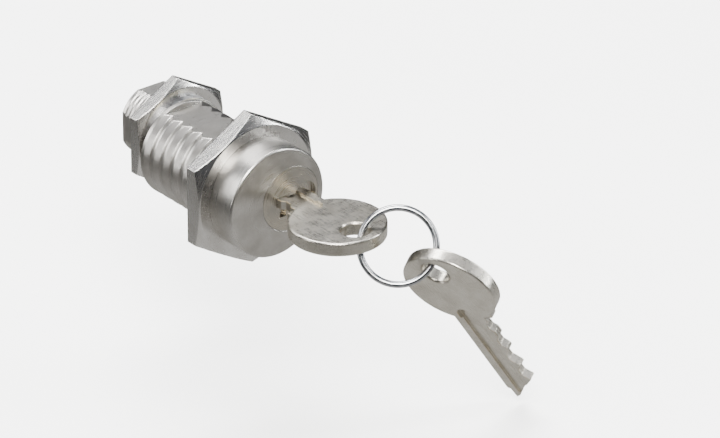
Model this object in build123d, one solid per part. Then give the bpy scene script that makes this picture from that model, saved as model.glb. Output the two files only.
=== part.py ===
# Cam lock with its key inserted and a spare key on a wire ring. Millimetres, +Z up.
# The origin is on the barrel's axis in the head's rear face. The lock's face looks along -Y,
# and the key's teeth point along -X.
import os
from math import cos, radians, sin, tan

from build123d import *

# Housing: a round head and a threaded barrel with two flats
HEAD_R = 10.85
HEAD_LENGTH = 6.3
BARREL_R = 9.5
BARREL_LENGTH = 23.0
BARREL_FLATS = 16.8
HEAD_EDGE = 0.25
RIM_LENGTH = 0.9
NECK_LENGTH = 4.4
THREAD_PITCH = 3.0
THREAD_DEPTH = 0.45
THREAD_TURNS = 6
THREAD_SHARE = 0.42
THREAD_ROOT = 0.12

# How far a cutting solid runs past the surface that it opens
PAST = 0.5

# Plug: its axis lies beside the barrel's, which leaves room for the pins
PLUG_X = 3.1
PLUG_R = 4.95
PLUG_END = 23.2
FLANGE_R = 6.4
FLANGE_LENGTH = 1.1
RUNNING_GAP = 0.05
KEYWAY_END = 14.0
FACE_RELIEF_DEPTH = 0.8
SPINE_SCOOP_R = 2.4
SPINE_SCOOP_X = 3.5
TOOTH_STEP_LOW_X = -2.5
TOOTH_STEP_HIGH_X = -1.0
TOOTH_STEP_HEIGHT = 3.2

# Nuts
PANEL_NUT_CORNER_R = 15.4
PANEL_NUT_LENGTH = 3.6
CAM_NUT_CORNER_R = 11.5
CAM_NUT_START = 26.9
CAM_NUT_LENGTH = 2.7
CHAMFER_ANGLE = 30
NUT_FACE_INSET = 0.25
NUT_BORE_GAP = 0.02

# Tail and the washers stacked in front of the cam nut
TAIL_R = 7.25
TAIL_FLATS = 13.2
TAIL_END = 36.6
TAIL_PITCH = 1.0
TAIL_THREAD_DEPTH = 0.2
TAIL_THREAD_TURNS = 6
TAIL_THREAD_GAP = 0.8
SPIGOT_R = 4.0
SPIGOT_FLATS = 6.4
STOP_WASHER_START = 23.3
STOP_WASHER_LENGTH = 1.2
STOP_WASHER_R = 7.7
TAIL_WASHER_LENGTH = 1.1
WASHER_R = 7.95
TAIL_FIT = 0.05
LOCK_WASHER_FIT = 0.1
LOCK_WASHER_SPLIT = 0.7
LOCK_WASHER_SPLIT_ANGLE = 25
STOP_PIN_R = 0.9
STOP_PIN_DEPTH = 3.0
STOP_PIN_PROUD = 1.2
STOP_SLOT_GAP = 0.2
STOP_PIN_CIRCLE_R = 6.2
STOP_PIN_ANGLE = 150
PLUG_TURN = 90

# Tail screw, in a counterbore in the tail's end
SCREW_R = 2.0
SCREW_HEAD_R = 3.6
SCREW_HEAD_LENGTH = 1.8
SCREW_HEAD_FILLET = 0.7
SCREW_CLEARANCE = 0.15
SCREW_END_GAP = 0.5
CROSS_REACH = 1.9
CROSS_DEPTH = 1.2
CROSS_WIDTH = 0.8
SCREW_WASHER_R = 4.3
SCREW_WASHER_LENGTH = 0.8
COUNTERBORE_R = 4.5
COUNTERBORE_DEPTH = 3.2
SCREW_DEPTH = 9.0

# Pin stacks, along -X from the key's teeth into the thick side of the barrel
PIN_PITCH = 4.7
FIRST_PIN_Y = -4.1
PIN_COUNT = 3
PIN_R = 0.95
PIN_GAP = 0.04
KEY_PIN_TIP_X = -0.15
KEY_PIN_END_X = -1.73
KEY_PIN_POINT = 0.45
DRIVER_EDGE = 0.15
DRIVER_START_X = -1.93
DRIVER_LENGTH = 2.3
CHAMBER_END_X = -7.6
SPRING_WIRE_R = 0.16
SPRING_R = 0.7
SPRING_TURNS = 6
SPRING_END_GAP = 0.03

# Key, in its own axes: the bow's centre is the origin, the blade points along +Y and its spine is at +X
BOW_R = 9.2
BOW_THICKNESS = 2.7
BOW_EDGE_FILLET = 0.35
HOLE_R = 2.75
HOLE_X = 0.35
HOLE_Y = -4.8
HOLE_EDGE = 0.3
BLADE_THICKNESS = 1.7
SHOULDER_X = -4.7
SHOULDER_Y = 8.9
SPINE_X = 3.95
CREST_X = -2.8
SPINE_END_Y = 30.9
TIP_Y = 33.7
CUT_PITCH = PIN_PITCH
FIRST_CUT_Y = 11.9
CUT_DEPTHS = (0.7, 0.85, 1.4, 1.15)
CUT_ROOT = 1.3
CUT_SLOPE = 1.15
GROOVE_LOW_X = -0.9
GROOVE_HIGH_X = 2.1
GROOVE_DEPTH = 0.45
GROOVE_START_Y = 7.6
KEY_X = 2.8
KEY_Y = -20.7
KEYWAY_GAP = 0.1
KEYWAY_RIB_DEPTH = 0.3
KEYWAY_RIB_GAP = 0.2

# Ring: a plain wire circle with butted ends, threaded through both bows
RING_R = 7.04
RING_WIRE_R = 0.62
RING_AZIMUTH = -38.5
RING_ELEVATION = 27.6
RING_GAP_ANGLE = 1.6
RING_GAP_PLACE = 181
KEY_ON_RING_ANGLE = 166.3
SPARE_ON_RING_ANGLE = -28.5
KEY_HOLE_OFFSET = (0.55, -0.85)
SPARE_HOLE_OFFSET = (0.95, -0.92)
SPARE_BLADE_DIRECTION = Vector(0.537, -0.061, -0.842)
SPARE_FACE_DIRECTION = Vector(-0.796, -0.369, -0.481)


def rod(radius, start, end, x=0.0, z=0.0):
    """A cylinder along +Y from start to end, centred at x, z."""
    plane = Plane(origin=(x, start, z), x_dir=(1, 0, 0), z_dir=(0, 1, 0))
    return Solid.make_cylinder(radius, end - start, plane)


def rod_x(radius, start, end, y):
    """A cylinder along X, between two x values."""
    low, high = min(start, end), max(start, end)
    plane = Plane(origin=(low, y, 0), x_dir=(0, 1, 0), z_dir=(1, 0, 0))
    return Solid.make_cylinder(radius, high - low, plane)


def slab(x_low, x_high, y_low, y_high, z_low, z_high):
    size = (x_high - x_low, y_high - y_low, z_high - z_low)
    return Pos((x_low + x_high) / 2, (y_low + y_high) / 2, (z_low + z_high) / 2) * Box(*size)


def turned(points, x=0.0):
    """A solid of revolution about the Y axis through x, from (radius, y) points."""
    profile = Plane.XY * Polyline(*points, close=True)
    face = make_face(profile)
    return Pos(x, 0, 0) * revolve(face, Axis.Y)


def flatted(radius, flats, start, end, x, sides):
    """A round bar with flats across it: 2 sides cut top and bottom, 4 sides cut all round."""
    wide = flats if sides == 4 else 2 * radius
    return rod(radius, start, end, x) & slab(x - wide / 2, x + wide / 2, start, end, -flats / 2, flats / 2)


def hex_nut(corner_r, start, length, x):
    """A hexagonal prism with a corner straight up, its front face chamfered to a circle."""
    plane = Plane(origin=(x, start, 0), x_dir=(0, 0, 1), z_dir=(0, 1, 0))
    prism = extrude(plane * RegularPolygon(corner_r, 6), length)
    face_r = corner_r * cos(radians(30)) - NUT_FACE_INSET
    rise = (corner_r - face_r) * tan(radians(CHAMFER_ANGLE))
    end = start + length
    cone = turned([(0, start), (face_r, start), (corner_r, start + rise), (corner_r, end), (0, end)], x)
    return prism & cone


def thread_grooves(radius, first, pitch, turns, depth, x=0.0):
    """V grooves round a bar, with narrow flat crests between them."""
    half, outer, root = THREAD_SHARE * pitch, radius + PAST, radius - depth
    grooves = []
    for turn in range(turns):
        y = first + turn * pitch
        grooves.append(turned([(outer, y - half), (radius, y - half), (root, y - THREAD_ROOT),
                               (root, y + THREAD_ROOT), (radius, y + half), (outer, y + half)], x))
    return grooves


def pin_y(index):
    return FIRST_PIN_Y + index * PIN_PITCH


def make_housing():
    head = turned([(0, -HEAD_LENGTH), (HEAD_R - HEAD_EDGE, -HEAD_LENGTH), (HEAD_R, HEAD_EDGE - HEAD_LENGTH),
                   (HEAD_R, 0), (0, 0)])
    barrel = rod(BARREL_R, 0, BARREL_LENGTH)
    first = NECK_LENGTH + THREAD_PITCH / 2
    for groove in thread_grooves(BARREL_R, first, THREAD_PITCH, THREAD_TURNS, THREAD_DEPTH):
        barrel = barrel - groove
    high, low = BARREL_R + PAST, BARREL_FLATS / 2
    flats_end = BARREL_LENGTH - RIM_LENGTH
    barrel = barrel - slab(-high, high, 0, flats_end, low, high)
    barrel = barrel - slab(-high, high, 0, flats_end, -high, -low)
    body = head + barrel
    body = body - rod(PLUG_R + RUNNING_GAP, -HEAD_LENGTH, BARREL_LENGTH, PLUG_X)
    body = body - rod(FLANGE_R + RUNNING_GAP, -HEAD_LENGTH, FLANGE_LENGTH - HEAD_LENGTH + RUNNING_GAP, PLUG_X)
    for index in range(PIN_COUNT):
        body = body - rod_x(PIN_R + PIN_GAP, CHAMBER_END_X, PLUG_X, pin_y(index))
    return body - rod(STOP_PIN_R, BARREL_LENGTH - STOP_PIN_DEPTH, BARREL_LENGTH, *stop_pin_place())


def make_panel_nut():
    nut = hex_nut(PANEL_NUT_CORNER_R, 0, PANEL_NUT_LENGTH, 0)
    return nut - rod(BARREL_R + NUT_BORE_GAP, 0, PANEL_NUT_LENGTH)


def stop_pin_place():
    angle = radians(STOP_PIN_ANGLE)
    return PLUG_X + STOP_PIN_CIRCLE_R * cos(angle), STOP_PIN_CIRCLE_R * sin(angle)


def make_stop_pin():
    start, end = BARREL_LENGTH - STOP_PIN_DEPTH, BARREL_LENGTH + STOP_PIN_PROUD
    return rod(STOP_PIN_R, start, end, *stop_pin_place())


def make_keyway():
    """The space that the blade slides into, narrowed by a rib for each of the key's grooves."""
    low_x, high_x = KEY_X + CREST_X - KEYWAY_GAP / 2, KEY_X + SPINE_X + KEYWAY_GAP
    half = BLADE_THICKNESS / 2 + KEYWAY_GAP
    keyway = slab(low_x, high_x, -HEAD_LENGTH, KEYWAY_END, -half, half)
    rib_low, rib_high = KEY_X + GROOVE_LOW_X + KEYWAY_RIB_GAP, KEY_X + GROOVE_HIGH_X - KEYWAY_RIB_GAP
    for side in (1, -1):
        low, high = sorted((side * half, side * (half - KEYWAY_RIB_DEPTH)))
        keyway = keyway - slab(rib_low, rib_high, -HEAD_LENGTH, KEYWAY_END, low, high)
    return keyway


def make_plug():
    face, relief_end = -HEAD_LENGTH, FACE_RELIEF_DEPTH - HEAD_LENGTH
    plug = rod(PLUG_R, FLANGE_LENGTH + face, PLUG_END, PLUG_X)
    plug = plug + rod(FLANGE_R, face, FLANGE_LENGTH + face, PLUG_X)
    plug = plug - make_keyway()
    # Face relief: a shallow scoop round the key's spine and a small step under its toothed edge
    plug = plug - rod(SPINE_SCOOP_R, face, relief_end, PLUG_X + SPINE_SCOOP_X)
    plug = plug - slab(PLUG_X + TOOTH_STEP_LOW_X, PLUG_X + TOOTH_STEP_HIGH_X, face, relief_end,
                       -TOOTH_STEP_HEIGHT, 0)
    for index in range(PIN_COUNT):
        plug = plug - rod_x(PIN_R + PIN_GAP, PLUG_X - FLANGE_R, KEY_X, pin_y(index))
    return plug - rod(SCREW_R, PLUG_END - SCREW_DEPTH, PLUG_END, PLUG_X)


def make_key_pin(index):
    """A short pin whose tip is chamfered to follow the key's teeth."""
    pin = rod_x(PIN_R, KEY_PIN_TIP_X, KEY_PIN_END_X, pin_y(index))
    tip = pin.edges().filter_by(GeomType.CIRCLE).sort_by(Axis.X)[-1]
    return chamfer(tip, KEY_PIN_POINT)


def make_driver_pin(index):
    pin = rod_x(PIN_R, DRIVER_START_X, DRIVER_START_X - DRIVER_LENGTH, pin_y(index))
    return chamfer(pin.edges().filter_by(GeomType.CIRCLE), DRIVER_EDGE)


def make_pin_spring(index):
    """A coil spring from the driver pin to the chamber's blind end."""
    start = DRIVER_START_X - DRIVER_LENGTH - SPRING_WIRE_R - SPRING_END_GAP
    height = start - CHAMBER_END_X - SPRING_WIRE_R - SPRING_END_GAP
    y = pin_y(index)
    plane = Plane(origin=(start, y, 0), x_dir=(0, 1, 0), z_dir=(-1, 0, 0))
    path = plane * Helix(pitch=height / SPRING_TURNS, height=height, radius=SPRING_R)
    section = Plane(origin=path @ 0, z_dir=path % 0) * Circle(SPRING_WIRE_R)
    return sweep(section, path, is_frenet=True)


def make_tailpiece():
    tail_start = STOP_WASHER_START + STOP_WASHER_LENGTH
    tail = flatted(TAIL_R, TAIL_FLATS, tail_start, TAIL_END, PLUG_X, 4)
    tail = tail + flatted(SPIGOT_R, SPIGOT_FLATS, PLUG_END, tail_start, PLUG_X, 2)
    first = CAM_NUT_START + CAM_NUT_LENGTH + TAIL_THREAD_GAP
    for groove in thread_grooves(TAIL_R, first, TAIL_PITCH, TAIL_THREAD_TURNS, TAIL_THREAD_DEPTH, PLUG_X):
        tail = tail - groove
    tail = tail - rod(COUNTERBORE_R, TAIL_END - COUNTERBORE_DEPTH, TAIL_END, PLUG_X)
    return tail - rod(SCREW_R + SCREW_CLEARANCE, PLUG_END, TAIL_END, PLUG_X)


def make_stop_washer():
    """A disc driven by the spigot's flats, with a slot that lets the plug turn a quarter."""
    start, end = STOP_WASHER_START, STOP_WASHER_START + STOP_WASHER_LENGTH
    washer = rod(STOP_WASHER_R, start, end, PLUG_X)
    washer = washer - flatted(SPIGOT_R, SPIGOT_FLATS, start, end, PLUG_X, 2)
    slot_r, width = STOP_PIN_CIRCLE_R, 2 * (STOP_PIN_R + STOP_SLOT_GAP)
    band = rod(slot_r + width / 2, start, end, PLUG_X) - rod(slot_r - width / 2, start, end, PLUG_X)
    half = PLUG_TURN / 2
    middle = radians(STOP_PIN_ANGLE + half)
    reach = 2 * STOP_WASHER_R
    plane = Plane(origin=(PLUG_X, start, 0), x_dir=(cos(middle), 0, sin(middle)), z_dir=(0, -1, 0))
    spread = reach * tan(radians(half))
    wedge = Polyline((0, 0), (reach, spread), (reach, -spread), close=True)
    sector = extrude(plane * make_face(wedge), -STOP_WASHER_LENGTH)
    washer = washer - (band & sector)
    for turn in (0, PLUG_TURN):
        angle = radians(STOP_PIN_ANGLE + turn)
        washer = washer - rod(width / 2, start, end, PLUG_X + slot_r * cos(angle), slot_r * sin(angle))
    return washer


def make_tail_washer():
    start = STOP_WASHER_START + STOP_WASHER_LENGTH
    end = start + TAIL_WASHER_LENGTH
    washer = rod(WASHER_R, start, end, PLUG_X)
    return washer - flatted(TAIL_R + TAIL_FIT, TAIL_FLATS + 2 * TAIL_FIT, start, end, PLUG_X, 4)


def make_lock_washer():
    """A split spring washer, flat when the nut is tight."""
    start = STOP_WASHER_START + STOP_WASHER_LENGTH + TAIL_WASHER_LENGTH
    washer = rod(WASHER_R, start, CAM_NUT_START, PLUG_X)
    washer = washer - rod(TAIL_R + LOCK_WASHER_FIT, start, CAM_NUT_START, PLUG_X)
    half = LOCK_WASHER_SPLIT / 2
    split = slab(-half, half, start - PAST, CAM_NUT_START + PAST, -WASHER_R - PAST, 0)
    return washer - Pos(PLUG_X, 0, 0) * Rot(0, LOCK_WASHER_SPLIT_ANGLE, 0) * split


def make_cam_nut():
    nut = hex_nut(CAM_NUT_CORNER_R, CAM_NUT_START, CAM_NUT_LENGTH, PLUG_X)
    return nut - rod(TAIL_R + NUT_BORE_GAP, CAM_NUT_START, CAM_NUT_START + CAM_NUT_LENGTH, PLUG_X)


def make_tail_screw():
    seat = TAIL_END - COUNTERBORE_DEPTH + SCREW_WASHER_LENGTH
    head = rod(SCREW_HEAD_R, seat, seat + SCREW_HEAD_LENGTH, PLUG_X)
    head = fillet(head.edges().filter_by(GeomType.CIRCLE).sort_by(Axis.Y)[-1], SCREW_HEAD_FILLET)
    shank = rod(SCREW_R, PLUG_END - SCREW_DEPTH + SCREW_END_GAP, seat, PLUG_X)
    screw = head + shank
    top, half = seat + SCREW_HEAD_LENGTH, CROSS_WIDTH / 2
    for turn in (0, 90):
        slot = slab(-CROSS_REACH, CROSS_REACH, top - CROSS_DEPTH, top + PAST, -half, half)
        screw = screw - Pos(PLUG_X, 0, 0) * Rot(0, turn, 0) * slot
    return screw


def make_screw_washer():
    start = TAIL_END - COUNTERBORE_DEPTH
    end = start + SCREW_WASHER_LENGTH
    return rod(SCREW_WASHER_R, start, end, PLUG_X) - rod(SCREW_R + SCREW_CLEARANCE, start, end, PLUG_X)


def blade_outline():
    """The blade's outline: a straight spine, four cuts at one pitch and a stepped tip."""
    points = [(SPINE_X, 0), (SPINE_X, SPINE_END_Y), (SPINE_X - 0.6, SPINE_END_Y + 0.4),
              (SPINE_X - 0.75, TIP_Y), (SPINE_X - 1.75, TIP_Y - 0.5), (0.2, SPINE_END_Y)]
    last = FIRST_CUT_Y + (len(CUT_DEPTHS) - 1) * CUT_PITCH
    points.append((CREST_X, last + CUT_ROOT / 2 + CUT_SLOPE * CUT_DEPTHS[-1] + 0.3))
    for index in reversed(range(len(CUT_DEPTHS))):
        y, depth = FIRST_CUT_Y + index * CUT_PITCH, CUT_DEPTHS[index]
        for side in (1, -1):
            root = (CREST_X + depth, y + side * CUT_ROOT / 2)
            crest = (CREST_X, y + side * (CUT_ROOT / 2 + CUT_SLOPE * depth))
            points += [crest, root] if side == 1 else [root, crest]
    points += [(CREST_X, SHOULDER_Y), (SHOULDER_X, SHOULDER_Y), (SHOULDER_X, 0)]
    return points


def make_key_blank():
    """One key in its own axes: a round bow, a grooved blade, and the ring's hole."""
    bow = Cylinder(BOW_R, BOW_THICKNESS)
    bow = fillet(bow.edges().filter_by(GeomType.CIRCLE), BOW_EDGE_FILLET)
    face = make_face(Polyline(*blade_outline(), close=True))
    blade = Pos(0, 0, -BLADE_THICKNESS / 2) * extrude(face, BLADE_THICKNESS)
    key = bow + blade
    width = GROOVE_HIGH_X - GROOVE_LOW_X
    middle = (GROOVE_HIGH_X + GROOVE_LOW_X) / 2
    for side in (1, -1):
        floor, top = BLADE_THICKNESS / 2 - GROOVE_DEPTH, BOW_THICKNESS
        low, high = sorted((side * floor, side * top))
        run = slab(middle - width / 2, middle + width / 2, GROOVE_START_Y, TIP_Y + PAST, low, high)
        end = Pos(middle, GROOVE_START_Y, (low + high) / 2) * Cylinder(width / 2, high - low)
        key = key - run - end
    hole = Pos(HOLE_X, HOLE_Y, 0) * Cylinder(HOLE_R, BOW_THICKNESS + PAST)
    key = key - hole
    rims = [e for e in key.edges().filter_by(GeomType.CIRCLE)
            if abs(e.radius - HOLE_R) < 0.01 and abs(e.arc_center.Y - HOLE_Y) < 0.01]
    return chamfer(rims, HOLE_EDGE)


def ring_axes():
    """The ring's normal, and two directions across it: level, and upward."""
    turn, rise = radians(RING_AZIMUTH), radians(RING_ELEVATION)
    level = Vector(cos(turn), sin(turn), 0)
    normal = Vector(sin(turn) * cos(rise), -cos(turn) * cos(rise), sin(rise))
    return normal, level, normal.cross(level)


def ring_point(angle):
    """A place on the wire's centre line, from the ring's centre."""
    _, level, upward = ring_axes()
    return level * (RING_R * cos(radians(angle))) + upward * (RING_R * sin(radians(angle)))


def ring_centre():
    through = Vector(KEY_X + HOLE_X + KEY_HOLE_OFFSET[0], KEY_Y + HOLE_Y + KEY_HOLE_OFFSET[1], 0)
    return through - ring_point(KEY_ON_RING_ANGLE)


def make_key_ring():
    normal, level, _ = ring_axes()
    start = RING_GAP_PLACE + RING_GAP_ANGLE / 2
    plane = Plane(origin=ring_centre(), x_dir=level, z_dir=normal)
    circle = Plane(origin=(RING_R, 0, 0), x_dir=(1, 0, 0), z_dir=(0, 1, 0)) * Circle(RING_WIRE_R)
    wire = revolve(circle, Axis.Z, 360 - RING_GAP_ANGLE)
    return plane.location * Rot(0, 0, start) * wire


def spare_plane():
    """The spare key's axes, with the wire through its hole."""
    face, blade = SPARE_FACE_DIRECTION.normalized(), SPARE_BLADE_DIRECTION.normalized()
    across = blade.cross(face).normalized()
    blade = face.cross(across)
    through = ring_centre() + ring_point(SPARE_ON_RING_ANGLE)
    x, y = HOLE_X + SPARE_HOLE_OFFSET[0], HOLE_Y + SPARE_HOLE_OFFSET[1]
    return Plane(origin=through - across * x - blade * y, x_dir=across, z_dir=face)


def all_nodes():
    key = make_key_blank()
    nodes = {
        "housing": make_housing(),
        "panel_nut": make_panel_nut(),
        "stop_pin": make_stop_pin(),
        "plug": make_plug(),
        "tailpiece": make_tailpiece(),
        "stop_washer": make_stop_washer(),
        "tail_washer": make_tail_washer(),
        "lock_washer": make_lock_washer(),
        "cam_nut": make_cam_nut(),
        "tail_screw": make_tail_screw(),
        "screw_washer": make_screw_washer(),
        "key": Pos(KEY_X, KEY_Y, 0) * key,
        "key_ring": make_key_ring(),
        "spare_key": spare_plane().location * key,
    }
    for index in range(PIN_COUNT):
        number = index + 1
        nodes[f"key_pin_{number}"] = make_key_pin(index)
        nodes[f"driver_pin_{number}"] = make_driver_pin(index)
        nodes[f"pin_spring_{number}"] = make_pin_spring(index)
    return nodes


def report_axes():
    """Prints the places that the joints need, in millimetres."""
    normal, level, upward = ring_axes()
    centre, through = ring_centre(), ring_centre() + ring_point(KEY_ON_RING_ANGLE)
    angle = radians(KEY_ON_RING_ANGLE)
    tangent = upward * cos(angle) - level * sin(angle)
    for name, value in (("ring centre", centre), ("ring normal", normal),
                        ("wire in the key", through), ("wire direction there", tangent)):
        print(name, [round(v, 5) for v in value])


os.makedirs("parts", exist_ok=True)
for node, solid in all_nodes().items():
    export_step(solid, f"parts/{node}.step")
report_axes()
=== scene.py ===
"""Looks for the cam lock: satin nickel lock body, bright nuts, worn nickel-plated keys, and the studio."""
from math import cos, pi, radians, sin

import bmesh
import bpy
from mathutils import Matrix, Vector


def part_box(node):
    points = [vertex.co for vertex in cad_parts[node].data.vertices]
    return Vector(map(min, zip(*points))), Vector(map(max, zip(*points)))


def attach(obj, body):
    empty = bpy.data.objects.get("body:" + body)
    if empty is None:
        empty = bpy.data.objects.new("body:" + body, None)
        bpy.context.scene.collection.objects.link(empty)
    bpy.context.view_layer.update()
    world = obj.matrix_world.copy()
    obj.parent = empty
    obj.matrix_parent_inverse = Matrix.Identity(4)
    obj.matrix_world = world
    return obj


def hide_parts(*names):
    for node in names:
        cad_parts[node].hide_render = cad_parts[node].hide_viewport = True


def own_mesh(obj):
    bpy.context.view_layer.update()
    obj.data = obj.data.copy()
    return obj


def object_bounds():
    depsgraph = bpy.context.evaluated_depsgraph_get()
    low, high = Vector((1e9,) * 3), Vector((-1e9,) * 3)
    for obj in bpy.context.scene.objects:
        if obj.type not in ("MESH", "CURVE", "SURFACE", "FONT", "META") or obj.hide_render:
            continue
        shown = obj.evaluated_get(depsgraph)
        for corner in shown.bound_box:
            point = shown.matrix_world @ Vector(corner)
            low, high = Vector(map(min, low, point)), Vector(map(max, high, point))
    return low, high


MM = 0.001

# The stretch of a noise's values over which a mask goes from nothing to full
MARKS = (0.3, 0.7)
STAINS = (0.37, 0.68)
DENTS = (0.68, 0.78)
PATCHES = (0.45, 0.6)
RUBS = (0.36, 0.62)

# How far marks, stains and rubbed edges change the roughness, and how much worn colour an edge takes
MARK_ROUGHNESS = 0.06
STAIN_ROUGHNESS = 0.06
EDGE_POLISH = 0.08
EDGE_WEAR = 0.58

# How high the grain stands and how deep scratches and dents go, next to the tool marks
GRAIN_HEIGHT = 0.35
SCRATCH_DEPTH = -1.1
DENT_DEPTH = -0.8

# The camera: turned round the object and raised above it, in degrees, with a long lens
CAMERA_AZIMUTH = -38.5
CAMERA_ELEVATION = 27.6
CAMERA_LENS = 350.0
CAMERA_SENSOR = 36.0
CAMERA_CLIP_START = 10 * MM
CAMERA_CLIP_END = 20000 * MM
FRAME_WIDTH = 133.3 * MM
AIM_RIGHT = 19.19 * MM
AIM_UP = -5.19 * MM

# The keys' own axes, along the blade and out of the face, the middle of the bow, and the axis of the ring
KEY_BLADE = Vector((0, 1, 0))
KEY_FACE = Vector((0, 0, 1))
SPARE_BLADE = Vector((0.537, -0.061, -0.842))
SPARE_FACE = Vector((-0.796, -0.369, -0.481))
KEY_BOW = Vector((2.8, -20.7, 0)) * MM
RING_NORMAL = Vector((-0.5517, -0.6936, 0.4633))

# Where the axes of the barrel and the plug lie, which run along Y, and the way that the pin stacks run
BARREL_CENTRE = Vector((0, 0, 0))
PLUG_CENTRE = Vector((3.1, 0, 0)) * MM
PIN_AXIS = Vector((1, 0, 0))

# Pin springs: the wire, the coils, the gap and the closed turns at the ends, where the chamber ends, and the
# mesh's fineness
SPRING_WIRE_R = 0.16 * MM
SPRING_TURNS = 7
SPRING_END_GAP = 0.03 * MM
SPRING_CLOSED_TURN = 0.8
CHAMBER_END = -7.6 * MM
SPRING_STEPS = 24
SPRING_SIDES = 10

# Colours, linear
NICKEL = (0.56, 0.545, 0.52)
NICKEL_BRIGHT = (0.66, 0.65, 0.63)
NICKEL_WORN = (0.40, 0.385, 0.36)
KEY_NICKEL = (0.62, 0.595, 0.54)
KEY_NICKEL_DULL = (0.50, 0.475, 0.42)
KEY_BRASS = (0.62, 0.43, 0.17)
PLUG_METAL = (0.54, 0.505, 0.44)
STEEL = (0.50, 0.505, 0.515)
STEEL_WIRE = (0.40, 0.405, 0.415)
STEEL_DARK = (0.19, 0.19, 0.20)
ZINC = (0.52, 0.53, 0.54)
ZINC_YELLOW = (0.53, 0.49, 0.36)
BRASS = (0.68, 0.47, 0.17)
BRASS_DULL = (0.42, 0.28, 0.11)
FLOOR_COLOUR = (0.92, 0.92, 0.915)
CLOUD_COLOUR = tuple(0.97 * part for part in FLOOR_COLOUR)
PALE_WORLD = (1.8, 1.81, 1.82, 1)

# The studio that the metal reflects: how high each colour stands, from the horizon at 0 to straight up at 1
STUDIO_HORIZON = (0.0, (0.05, 0.052, 0.06, 1))
STUDIO_WALLS = (0.35, (0.07, 0.072, 0.08, 1))
STUDIO_CEILING = (0.9, (0.42, 0.43, 0.46, 1))

# The floor, and over it a glowing card with the painted pool of light that the metal reflects, whose centre
# and radii are in millimetres
FLOOR_SIZE = 6000 * MM
FLOOR_GAP = 1.5 * MM
FLOOR_ROUGHNESS = 0.9
POOL_LIFT = 0.4 * MM
POOL_CENTRE = (25, -20, 0)
POOL_RADII = (45, 190)
POOL_GLOW = (0.62, 0.03)
POOL_COLOUR = (1.0, 0.99, 0.97, 1.0)

# What every light points at
LIGHT_AIM = Vector((3, -10, -5)) * MM


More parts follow.
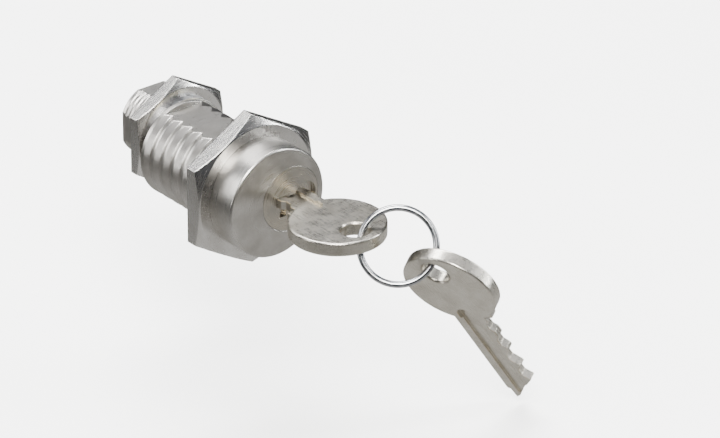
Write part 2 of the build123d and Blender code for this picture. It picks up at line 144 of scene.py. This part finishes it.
class Nodes:
    """A material, and a short way to build its shader tree."""

    def __init__(self, name):
        self.material = bpy.data.materials.new(name)
        self.material.use_nodes = True
        self.tree = self.material.node_tree
        self.tree.nodes.clear()
        self.shader = self.add("ShaderNodeBsdfPrincipled")
        self.surface = self.add("ShaderNodeOutputMaterial").inputs["Surface"]
        self.link(self.shader.outputs[0], self.surface)

    def add(self, kind, **settings):
        node = self.tree.nodes.new(kind)
        for key, value in settings.items():
            setattr(node, key, value)
        return node

    def link(self, source, target):
        self.tree.links.new(source, target)

    def feed(self, socket, value):
        """Links a socket's source, or sets its plain value."""
        if isinstance(value, bpy.types.NodeSocket):
            self.link(value, socket)
        else:
            socket.default_value = value

    def math(self, operation, a, b=0.0):
        node = self.add("ShaderNodeMath", operation=operation)
        self.feed(node.inputs[0], a)
        self.feed(node.inputs[1], b)
        return node.outputs[0]

    def vector(self, operation, a, b=(0, 0, 0)):
        node = self.add("ShaderNodeVectorMath", operation=operation)
        self.feed(node.inputs[0], a)
        self.feed(node.inputs[1], b)
        return node.outputs["Value" if operation in ("DOT_PRODUCT", "LENGTH") else "Vector"]

    def place(self):
        """The position on the object, in millimetres."""
        point = self.add("ShaderNodeTexCoord").outputs["Object"]
        scale = self.add("ShaderNodeVectorMath", operation="SCALE")
        self.feed(scale.inputs[0], point)
        scale.inputs["Scale"].default_value = 1 / MM
        return scale.outputs["Vector"]

    def local(self, origin, across, along, out):
        """The position in a piece's own axes, in millimetres."""
        point = self.vector("SUBTRACT", self.place(), tuple(origin / MM))
        combine = self.add("ShaderNodeCombineXYZ")
        for index, axis in enumerate((across, along, out)):
            self.link(self.vector("DOT_PRODUCT", point, tuple(axis)), combine.inputs[index])
        return combine.outputs[0]

    def stretch(self, place, scale):
        return self.vector("MULTIPLY", place, scale)

    def noise(self, place, scale, detail=3.0, roughness=0.55):
        node = self.add("ShaderNodeTexNoise")
        self.link(place, node.inputs["Vector"])
        node.inputs["Scale"].default_value = scale
        node.inputs["Detail"].default_value = detail
        node.inputs["Roughness"].default_value = roughness
        return node.outputs["Fac"]

    def spread(self, value, low, high, to_low=0.0, to_high=1.0):
        """Carries a value's range from low to high over to another range."""
        node = self.add("ShaderNodeMapRange", clamp=True)
        self.link(value, node.inputs["Value"])
        for name, number in zip(("From Min", "From Max", "To Min", "To Max"), (low, high, to_low, to_high)):
            node.inputs[name].default_value = number
        return node.outputs["Result"]

    def mix(self, amount, a, b):
        node = self.add("ShaderNodeMix", data_type="RGBA")
        self.feed(node.inputs["Factor"], amount)
        for socket, colour in ((node.inputs["A"], a), (node.inputs["B"], b)):
            self.feed(socket, colour if isinstance(colour, bpy.types.NodeSocket) else (*colour, 1.0))
        return node.outputs["Result"]

    def stained(self, stain, colour, tint):
        """A colour that turns to another where the surface is stained."""
        return self.mix(self.spread(stain, *STAINS), colour, tint)

    def roughened(self, marks, stain, roughness):
        """A roughness that follows the fine marks, and is a little more where the surface is stained."""
        fine = self.spread(marks, *MARKS, roughness - MARK_ROUGHNESS, roughness + MARK_ROUGHNESS)
        return self.math("ADD", fine, self.spread(stain, *STAINS, 0.0, STAIN_ROUGHNESS))

    def edges(self, radius_mm, low=0.02, high=0.25):
        """Bright along the sharp edges, where the surface is rubbed."""
        soft = self.add("ShaderNodeBevel", samples=6)
        soft.inputs["Radius"].default_value = radius_mm * MM
        hard = self.add("ShaderNodeNewGeometry").outputs["Normal"]
        facing = self.vector("DOT_PRODUCT", soft.outputs["Normal"], hard)
        return self.spread(self.math("SUBTRACT", 1.0, facing), low, high), soft.outputs["Normal"]

    def bump(self, height, distance_mm, normal=None):
        node = self.add("ShaderNodeBump")
        node.inputs["Distance"].default_value = distance_mm * MM
        self.link(height, node.inputs["Height"])
        if normal is not None:
            self.link(normal, node.inputs["Normal"])
        return node.outputs["Normal"]

    def finish(self, colour, roughness, normal, metallic=1.0):
        self.feed(self.shader.inputs["Base Color"], colour)
        self.feed(self.shader.inputs["Roughness"], roughness)
        self.shader.inputs["Metallic"].default_value = metallic
        self.link(normal, self.shader.inputs["Normal"])
        return self.material


def turned_metal(name, colour, tint, worn, centre, roughness, mark_mm=0.11, edge_mm=0.22):
    """Metal turned on a lathe about an axis along Y, with fine rings, soft stains and rubbed edges."""
    n = Nodes(name)
    place = n.vector("SUBTRACT", n.place(), tuple(centre / MM))
    radius = n.vector("LENGTH", n.stretch(place, (1, 0, 1)))
    along = n.vector("DOT_PRODUCT", place, (0, 1, 0))
    wobble = n.noise(place, scale=0.5, detail=2.0)
    lathe = n.add("ShaderNodeCombineXYZ")
    n.link(n.math("MULTIPLY", radius, 1 / mark_mm), lathe.inputs[0])
    n.link(n.math("MULTIPLY", along, 1 / mark_mm), lathe.inputs[1])
    n.link(wobble, lathe.inputs[2])
    marks = n.noise(lathe.outputs[0], scale=1.0, detail=2.0, roughness=0.6)
    stain = n.noise(place, scale=0.16, detail=4.0)
    grain = n.noise(place, scale=9.0)
    edge, soft = n.edges(edge_mm)
    base = n.mix(n.math("MULTIPLY", edge, EDGE_WEAR), n.stained(stain, colour, tint), worn)
    polish = n.math("MULTIPLY", edge, EDGE_POLISH)
    rough = n.math("SUBTRACT", n.roughened(marks, stain, roughness), polish)
    height = n.math("ADD", marks, n.math("MULTIPLY", grain, GRAIN_HEIGHT))
    return n.finish(base, rough, n.bump(height, distance_mm=0.006, normal=soft))


def scratch_lines(n, place, angle, fineness):
    """Short straight scratches that lie at an angle to the piece's own axes."""
    turn = n.add("ShaderNodeVectorRotate", rotation_type="Z_AXIS")
    n.link(place, turn.inputs["Vector"])
    turn.inputs["Angle"].default_value = radians(angle)
    stretched = n.stretch(turn.outputs[0], (fineness, 0.35, 0.8))
    lines = n.noise(stretched, scale=1.0, detail=1.0, roughness=0.3)
    patches = n.spread(n.noise(place, scale=0.35, detail=2.0), *PATCHES)
    return n.math("MULTIPLY", n.spread(lines, *DENTS), patches)


def brushed_metal(name, colour, tint, worn, axes, origin, roughness):
    """Sheet metal brushed along one of its own axes, with fine scratches, stains and rubbed edges."""
    n = Nodes(name)
    along, out = axes
    across = along.cross(out)
    place = n.local(origin, across, along, out)
    brush = n.noise(n.stretch(place, (14.0, 0.3, 5.0)), scale=1.0, roughness=0.6)
    long_scratches = scratch_lines(n, place, angle=23, fineness=9.0)
    cross_scratches = scratch_lines(n, place, angle=-38, fineness=7.0)
    scratches = n.math("MAXIMUM", long_scratches, cross_scratches)
    rubbed = n.noise(n.stretch(place, (0.9, 1.4, 0.9)), scale=0.55, detail=4.0, roughness=0.6)
    stain = n.noise(place, scale=0.22, detail=5.0, roughness=0.6)
    edge, soft = n.edges(radius_mm=0.26, low=0.015, high=0.22)
    wear = n.math("MULTIPLY", edge, n.spread(rubbed, *RUBS))
    base = n.mix(n.math("MULTIPLY", wear, EDGE_WEAR), n.stained(stain, colour, tint), worn)
    rough = n.roughened(brush, rubbed, roughness)
    lines = n.math("ADD", brush, n.math("MULTIPLY", scratches, SCRATCH_DEPTH))
    return n.finish(base, rough, n.bump(lines, distance_mm=0.003, normal=soft))


def nut_metal(name, colour, tint, worn, centre, roughness):
    """Bright plated hexagon: mill marks across the flats, tool rubs at the corners."""
    n = Nodes(name)
    place = n.vector("SUBTRACT", n.place(), tuple(centre / MM))
    mill = n.noise(n.stretch(place, (0.5, 9.0, 0.5)), scale=1.0, roughness=0.6)
    stain = n.noise(place, scale=0.2, detail=4.0)
    dents = n.noise(place, scale=1.3, detail=2.0)
    edge, soft = n.edges(radius_mm=0.3)
    base = n.mix(n.math("MULTIPLY", edge, EDGE_WEAR), n.stained(stain, colour, tint), worn)
    rough = n.roughened(mill, stain, roughness)
    height = n.math("ADD", mill, n.math("MULTIPLY", n.spread(dents, *DENTS), DENT_DEPTH))
    return n.finish(base, rough, n.bump(height, distance_mm=0.0032, normal=soft))


def wire_metal(name, colour, tint, axis, roughness):
    """Drawn wire with fine streaks and stained patches. The axis sets how fine the streaks are each way."""
    n = Nodes(name)
    place = n.place()
    lines = n.noise(n.stretch(place, tuple(Vector((1, 1, 1)) + axis * 4)), scale=6.0)
    stain = n.noise(place, scale=0.6, detail=4.0)
    _, soft = n.edges(radius_mm=0.1)
    rough = n.roughened(lines, stain, roughness)
    return n.finish(n.stained(stain, colour, tint), rough, n.bump(lines, distance_mm=0.004, normal=soft))


def paint(node, material):
    """Gives one CAD node its material."""
    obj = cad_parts[node]
    obj.data.materials.clear()
    obj.data.materials.append(material)


def key_metal(name, axes, origin):
    """Nickel plate over brass, which shows through where the edges are worn."""
    return brushed_metal(name, KEY_NICKEL, KEY_NICKEL_DULL, KEY_BRASS, axes, origin, roughness=0.27)


def make_finishes():
    """The material of each node that has a name of its own, and of the pins and their springs."""
    low, high = (Vector(corner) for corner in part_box("spare_key"))
    spare_axes = (SPARE_BLADE.normalized(), SPARE_FACE.normalized())
    nickel = (NICKEL, NICKEL_WORN, NICKEL_BRIGHT)
    bright = (NICKEL_BRIGHT, NICKEL, NICKEL_BRIGHT)
    core = (PLUG_METAL, NICKEL_WORN, NICKEL_BRIGHT)
    brass = (BRASS, BRASS_DULL, BRASS)
    zinc = turned_metal("zinc_plate", ZINC, ZINC_YELLOW, STEEL, PLUG_CENTRE, roughness=0.34)
    spring = wire_metal("spring_wire", STEEL_DARK, STEEL, PIN_AXIS, roughness=0.35)
    return {
        "housing": turned_metal("satin_nickel", *nickel, BARREL_CENTRE, roughness=0.30),
        "panel_nut": nut_metal("bright_nut", *bright, BARREL_CENTRE, roughness=0.22),
        "plug": turned_metal("nickelled_plug", *core, PLUG_CENTRE, roughness=0.26, mark_mm=0.16,
                             edge_mm=0.12),
        "tailpiece": turned_metal("satin_nickel_tail", *nickel, PLUG_CENTRE, roughness=0.32),
        "cam_nut": nut_metal("bright_cam_nut", *bright, PLUG_CENTRE, roughness=0.24),
        "key": key_metal("key_nickel", (KEY_BLADE, KEY_FACE), KEY_BOW),
        "spare_key": key_metal("spare_key_nickel", spare_axes, (low + high) / 2),
        "key_ring": wire_metal("bright_wire", STEEL_WIRE, STEEL, RING_NORMAL, roughness=0.22),
        "stop_pin": zinc,
        "stop_washer": zinc,
        "tail_washer": zinc,
        "tail_screw": zinc,
        "screw_washer": zinc,
        "lock_washer": spring,
        "pin_spring": spring,
        "pin": turned_metal("turned_brass", *brass, BARREL_CENTRE, roughness=0.30),
    }


def paint_all():
    """Paints every node, and winds a spring for each of the plain ones."""
    finishes = make_finishes()
    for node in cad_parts:
        if node.startswith("pin_spring"):
            paint(node, finishes["pin_spring"])
            make_spring(int(node.split("_")[-1]), finishes["pin_spring"])
        else:
            paint(node, finishes["pin" if "_pin_" in node else node])


def coil_travel(turn, length):
    """How far along the spring its wire is after some turns. The end turns lie closed."""
    pitch = 2 * SPRING_WIRE_R
    last = SPRING_TURNS - SPRING_CLOSED_TURN
    if turn < SPRING_CLOSED_TURN:
        return pitch * turn
    if turn > last:
        return length - pitch * (SPRING_TURNS - turn)
    closed = pitch * SPRING_CLOSED_TURN
    return closed + (length - 2 * closed) * (turn - SPRING_CLOSED_TURN) / (last - SPRING_CLOSED_TURN)


def coil_mesh(name, start, end, radius, centre):
    """A coil of wire that runs along -X from start to end, round a centre in Y and Z."""
    steps = SPRING_TURNS * SPRING_STEPS
    middle = Vector((0, *centre))
    mesh = bmesh.new()
    rings = []
    for step in range(steps + 1):
        turn = SPRING_TURNS * step / steps
        outward = Vector((0, cos(2 * pi * turn), sin(2 * pi * turn)))
        point = middle + outward * radius + PIN_AXIS * (start - coil_travel(turn, start - end))
        angles = [2 * pi * side / SPRING_SIDES for side in range(SPRING_SIDES)]
        rings.append([mesh.verts.new(point + SPRING_WIRE_R * (outward * cos(a) + PIN_AXIS * sin(a)))
                      for a in angles])
    for first, second in zip(rings, rings[1:]):
        for side in range(SPRING_SIDES):
            after = (side + 1) % SPRING_SIDES
            mesh.faces.new((first[side], first[after], second[after], second[side]))
    mesh.faces.new(rings[0][::-1])
    mesh.faces.new(rings[-1])
    bmesh.ops.recalc_face_normals(mesh, faces=mesh.faces)
    data = bpy.data.meshes.new(name)
    mesh.to_mesh(data)
    mesh.free()
    for face in data.polygons:
        face.use_smooth = len(face.vertices) == 4
    return data


def make_spring(number, material):
    """A closed-end coil spring in its chamber, in place of the plain CAD spring."""
    node = f"pin_spring_{number}"
    low, high = (Vector(corner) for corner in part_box(node))
    centre = ((low.y + high.y) / 2, (low.z + high.z) / 2)
    radius = (high.y - low.y) / 2 - SPRING_WIRE_R
    start = high.x - SPRING_WIRE_R
    end = CHAMBER_END + SPRING_END_GAP + SPRING_WIRE_R
    data = coil_mesh(f"coil_spring_{number}", start, end, radius, centre)
    spring = bpy.data.objects.new(f"coil_spring_{number}", data)
    bpy.context.collection.objects.link(spring)
    data.materials.append(material)
    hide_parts(node)
    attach(spring, "lock_body")
    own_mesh(spring)


def make_floor(lowest):
    """A wide pale floor with faint clouds, a little under the object."""
    bpy.ops.mesh.primitive_plane_add(size=FLOOR_SIZE, location=(0, 0, lowest))
    floor = bpy.context.object
    floor.name = "floor"
    n = Nodes("pale_floor")
    grain = n.noise(n.place(), scale=0.35)
    clouds = n.noise(n.place(), scale=0.01, detail=2.0)
    colour = n.mix(n.spread(clouds, *MARKS), FLOOR_COLOUR, CLOUD_COLOUR)
    n.shader.inputs["Specular IOR Level"].default_value = 0.0
    matt = n.finish(colour, FLOOR_ROUGHNESS, n.bump(grain, distance_mm=0.02), metallic=0.0)
    floor.data.materials.append(matt)


def glossy_only(obj):
    """Seen in the metal's reflections, and by nothing else."""
    obj.visible_camera = False
    obj.visible_diffuse = False
    obj.visible_shadow = False
    obj.visible_transmission = False
    obj.visible_volume_scatter = False


def make_painted_floor_reflection(lowest):
    """What the metal shows in place of the floor: a glowing card with a painted pool of light, bright near
    the object and dark far off, as under a studio lamp.
    """
    bpy.ops.mesh.primitive_plane_add(size=FLOOR_SIZE, location=(0, 0, lowest + POOL_LIFT))
    card = bpy.context.object
    card.name = "painted_floor_reflection"
    n = Nodes("painted_floor_reflection")
    from_pool = n.vector("SUBTRACT", n.place(), POOL_CENTRE)
    distance = n.vector("LENGTH", n.stretch(from_pool, (1, 1, 0)))
    # Painted pool of light: the card glows brightest near the object and fades to dark far off
    glow = n.spread(distance, *POOL_RADII, *POOL_GLOW)
    emission = n.add("ShaderNodeEmission")
    n.link(glow, emission.inputs["Strength"])
    emission.inputs["Color"].default_value = POOL_COLOUR
    n.link(emission.outputs[0], n.surface)
    n.tree.nodes.remove(n.shader)
    card.data.materials.append(n.material)
    glossy_only(card)


def make_light(name, place, size, power, colour=(1, 1, 1)):
    """A rectangle of light that points at the lock."""
    data = bpy.data.lights.new(name, "AREA")
    data.shape = "RECTANGLE"
    data.size, data.size_y = size
    data.energy = power
    data.color = colour
    light = bpy.data.objects.new(name, data)
    bpy.context.collection.objects.link(light)
    light.location = place
    light.rotation_euler = (LIGHT_AIM - light.location).to_track_quat("-Z", "Y").to_euler()


def make_world():
    """Pale all round, except in the metal, which shows a studio: a bright ceiling over dark walls."""
    world = bpy.data.worlds.new("studio")
    bpy.context.scene.world = world
    world.use_nodes = True
    tree = world.node_tree
    place = tree.nodes.new("ShaderNodeTexCoord")
    split = tree.nodes.new("ShaderNodeSeparateXYZ")
    ramp = tree.nodes.new("ShaderNodeValToRGB")
    rays = tree.nodes.new("ShaderNodeLightPath")
    choose = tree.nodes.new("ShaderNodeMix")
    choose.data_type = "RGBA"
    tree.links.new(place.outputs["Generated"], split.inputs[0])
    tree.links.new(split.outputs["Z"], ramp.inputs["Fac"])
    tree.links.new(rays.outputs["Is Glossy Ray"], choose.inputs["Factor"])
    tree.links.new(ramp.outputs["Color"], choose.inputs["B"])
    tree.links.new(choose.outputs["Result"], tree.nodes["Background"].inputs["Color"])
    choose.inputs["A"].default_value = PALE_WORLD
    stops = ramp.color_ramp.elements
    stops[0].position, stops[0].color = STUDIO_HORIZON
    stops[1].position, stops[1].color = STUDIO_CEILING
    wall_height, wall_colour = STUDIO_WALLS
    stops.new(wall_height).color = wall_colour


def camera_axes():
    """The camera's right, its up, and the way from the object back to it."""
    turn, rise = radians(CAMERA_AZIMUTH), radians(CAMERA_ELEVATION)
    back = Matrix.Rotation(turn, 3, "Z") @ Matrix.Rotation(-rise, 3, "X") @ Vector((0, -1, 0))
    right = Vector((0, 0, 1)).cross(back).normalized()
    return right, back.cross(right), back


def make_camera():
    """A long lens, so that the lines run parallel as in a technical drawing."""
    right, up, back = camera_axes()
    data = bpy.data.cameras.new("camera")
    data.lens = CAMERA_LENS
    data.sensor_width = CAMERA_SENSOR
    camera = bpy.data.objects.new("camera", data)
    bpy.context.collection.objects.link(camera)
    distance = FRAME_WIDTH * CAMERA_LENS / CAMERA_SENSOR
    camera.location = right * AIM_RIGHT + up * AIM_UP + back * distance
    camera.rotation_euler = back.to_track_quat("Z", "Y").to_euler()
    data.clip_start = CAMERA_CLIP_START
    data.clip_end = CAMERA_CLIP_END
    bpy.context.scene.camera = camera
    bpy.context.scene.view_settings.look = "AgX - Medium High Contrast"


def make_lights():
    """A soft key light, a long strip for the highlights, and lights from above, the side and the back."""
    make_light("key_light", (-0.30, -0.40, 0.55), size=(0.36, 0.36), power=7.0, colour=(1.0, 0.985, 0.96))
    make_light("strip_light", (0.45, -0.30, 0.22), size=(0.06, 0.5), power=2.0, colour=(0.96, 0.98, 1.0))
    make_light("top_light", (0.10, 0.30, 0.6), size=(0.5, 0.22), power=5.0)
    make_light("fill_light", (-0.6, 0.15, 0.12), size=(0.12, 0.5), power=1.2)
    make_light("rear_light", (-0.32, 0.55, 0.18), size=(0.40, 0.30), power=1.8)


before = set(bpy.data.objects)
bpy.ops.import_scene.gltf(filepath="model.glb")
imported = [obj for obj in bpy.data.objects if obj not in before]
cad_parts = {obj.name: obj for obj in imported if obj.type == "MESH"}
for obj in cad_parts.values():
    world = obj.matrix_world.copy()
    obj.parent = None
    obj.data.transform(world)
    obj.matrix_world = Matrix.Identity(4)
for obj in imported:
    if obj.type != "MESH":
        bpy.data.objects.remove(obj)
cad_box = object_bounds()
paint_all()
make_floor(cad_box[0][2] - FLOOR_GAP)
make_painted_floor_reflection(cad_box[0][2] - FLOOR_GAP)
make_world()
make_lights()
make_camera()
